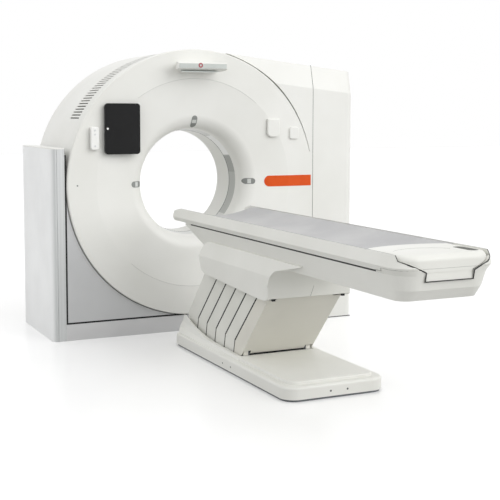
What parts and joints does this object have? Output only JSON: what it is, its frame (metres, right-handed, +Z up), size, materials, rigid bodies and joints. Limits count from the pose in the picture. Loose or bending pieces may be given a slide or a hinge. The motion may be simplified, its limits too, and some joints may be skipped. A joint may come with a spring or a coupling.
{
  "type": "ct scanner",
  "caption": "Computed-tomography scanner: ring-shaped gantry with a wide bore and a side tower, and a patient table with a sliding top on a leaning parallelogram lift.",
  "frame": {"origin": "on the floor, under the point where the scan plane meets the axis of the bore", "axes": "+Z up; +X across the gantry towards its tall tower; +Y along the bore away from the patient table, so the table is at -Y"},
  "size_m": [2.207, 3.6217, 1.886],
  "materials": {
    "cover_white": "satin moulded cover",
    "column_silver": "silver paint",
    "panel_grey": "satin grey paint",
    "plinth_light": "satin light grey paint",
    "joint_black": "matt",
    "light_diffuser": "translucent",
    "bore_white": "smooth thin-walled liner",
    "window_tint": "smooth",
    "screen_black": "smooth",
    "case_black": "satin",
    "button_grey": "satin",
    "label_orange": "satin",
    "frame_paint": "machine grey paint",
    "bearing_steel": "ground",
    "cast_aluminium": "as cast",
    "insulator": "smooth",
    "belt_rubber": "fabric-backed",
    "motor_paint": "semi-gloss paint",
    "lift_beige": "satin paint",
    "slat_grey": "satin paint",
    "arm_steel": "satin paint",
    "rail_black": "black anodised look",
    "top_grey": "satin laminate over carbon fibre"
  },
  "bodies": {
    "gantry_and_base": {"plinth": "plinth_light", "shadow_strip": "joint_black", "left_column": "column_silver", "column_cap": "cover_white", "corner_panel": "panel_grey", "rear_panel": "cover_white", "drum_shell": "cover_white", "front_cover": "cover_white", "rear_cover": "cover_white", "bore_liner": "bore_white", "light_ring": "light_diffuser", "laser_windows": "window_tint", "tower_upper_cover": "cover_white", "tower_side_cover": "cover_white", "display_hood": "cover_white", "display_strip": "screen_black", "tablet_bracket": "frame_paint", "tablet_case": "case_black", "tablet_screen": "screen_black", "remote_cradle": "panel_grey", "remote_handset": "cover_white", "face_holders": "cover_white", "label_plate": "label_orange", "stationary_frame": "frame_paint", "frame_leg": "frame_paint", "bearing_outer_ring": "bearing_steel", "drive_motor": "motor_paint", "drive_belt": "belt_rubber", "table_base_plate": "arm_steel", "table_base_cover": "cover_white", "lower_pivot_rails": "arm_steel", "lift_gearmotor": "motor_paint"},
    "rotor": {"rotor_plate": "cast_aluminium", "bearing_inner_ring": "bearing_steel", "x_ray_tube": "cast_aluminium", "collimator": "bearing_steel", "detector_arc": "cast_aluminium", "power_units": "motor_paint", "slip_ring": "insulator"},
    "pulley": {"drive_pulley": "cast_aluminium"},
    "raise_key": {"button_raise": "button_grey"},
    "lower_key": {"button_lower": "button_grey"},
    "release_key": {"button_release": "button_grey"},
    "front_arm": {"lift_front_arm": "arm_steel", "lift_foot_plate": "lift_beige"},
    "slat_1": {"side_slat_1": "slat_grey"},
    "slat_2": {"side_slat_2": "slat_grey"},
    "slat_3": {"side_slat_3": "slat_grey"},
    "slat_4": {"side_slat_4": "slat_grey"},
    "rear_arm": {"lift_rear_arm": "arm_steel", "lift_rear_plate": "slat_grey"},
    "table_frame": {"lift_housing": "cover_white", "upper_pivot_rails": "arm_steel", "table_tub": "cover_white", "accessory_rails": "rail_black", "side_rails": "cover_white", "guide_strips": "bearing_steel"},
    "sliding_top": {"tabletop": "top_grey", "tabletop_end_cap": "cover_white", "tabletop_carriage": "cast_aluminium"}
  },
  "joints": [
    {"name": "rotor_spin", "type": "hinge", "parent": "gantry_and_base", "child": "rotor", "pos_m": [0, 0.0725, 0.998], "axis": [0, 1, 0], "continuous": true},
    {"name": "pulley_spin", "type": "hinge", "parent": "gantry_and_base", "child": "pulley", "pos_m": [0.61065, 0.0725, 0.27026], "axis": [0, 1, 0], "continuous": true},
    {"name": "lift_hinge", "type": "hinge", "parent": "gantry_and_base", "child": "front_arm", "pos_m": [0, -1.507, 0.105], "axis": [-1, 0, 0], "range_deg": [-33, 17]},
    {"name": "slat_hinge_1", "type": "hinge", "parent": "gantry_and_base", "child": "slat_1", "pos_m": [0, -1.36, 0.105], "axis": [-1, 0, 0], "range_deg": [-33, 17]},
    {"name": "slat_hinge_2", "type": "hinge", "parent": "gantry_and_base", "child": "slat_2", "pos_m": [0, -1.213, 0.105], "axis": [-1, 0, 0], "range_deg": [-33, 17]},
    {"name": "slat_hinge_3", "type": "hinge", "parent": "gantry_and_base", "child": "slat_3", "pos_m": [0, -1.066, 0.105], "axis": [-1, 0, 0], "range_deg": [-33, 17]},
    {"name": "slat_hinge_4", "type": "hinge", "parent": "gantry_and_base", "child": "slat_4", "pos_m": [0, -0.919, 0.105], "axis": [-1, 0, 0], "range_deg": [-33, 17]},
    {"name": "rear_arm_hinge", "type": "hinge", "parent": "gantry_and_base", "child": "rear_arm", "pos_m": [0, -0.772, 0.105], "axis": [-1, 0, 0], "range_deg": [-33, 17]},
    {"name": "level_hinge", "type": "hinge", "parent": "front_arm", "child": "table_frame", "pos_m": [0, -1.86266, 0.5], "axis": [-1, 0, 0], "range_deg": [-17, 33]},
    {"name": "top_slide", "type": "slide", "parent": "table_frame", "child": "sliding_top", "axis": [0, 1, 0], "range_m": [0, 1.7]},
    {"name": "raise_press", "type": "slide", "parent": "gantry_and_base", "child": "raise_key", "axis": [0, 1, 0], "range_m": [0, 0.0015], "stiffness_N_per_m": 700, "springref_m": -0.0005},
    {"name": "lower_press", "type": "slide", "parent": "gantry_and_base", "child": "lower_key", "axis": [0, 1, 0], "range_m": [0, 0.0015], "stiffness_N_per_m": 700, "springref_m": -0.0005},
    {"name": "release_press", "type": "slide", "parent": "gantry_and_base", "child": "release_key", "axis": [0, 1, 0], "range_m": [0, 0.0015], "stiffness_N_per_m": 700, "springref_m": -0.0005}
  ],
  "couplings": [
    {"joint": "pulley_spin", "follows": "rotor_spin", "ratio": 12.878},
    {"joint": "slat_hinge_1", "follows": "lift_hinge", "ratio": 1},
    {"joint": "slat_hinge_2", "follows": "lift_hinge", "ratio": 1},
    {"joint": "slat_hinge_3", "follows": "lift_hinge", "ratio": 1},
    {"joint": "slat_hinge_4", "follows": "lift_hinge", "ratio": 1},
    {"joint": "rear_arm_hinge", "follows": "lift_hinge", "ratio": 1},
    {"joint": "level_hinge", "follows": "lift_hinge", "ratio": -1}
  ]
}
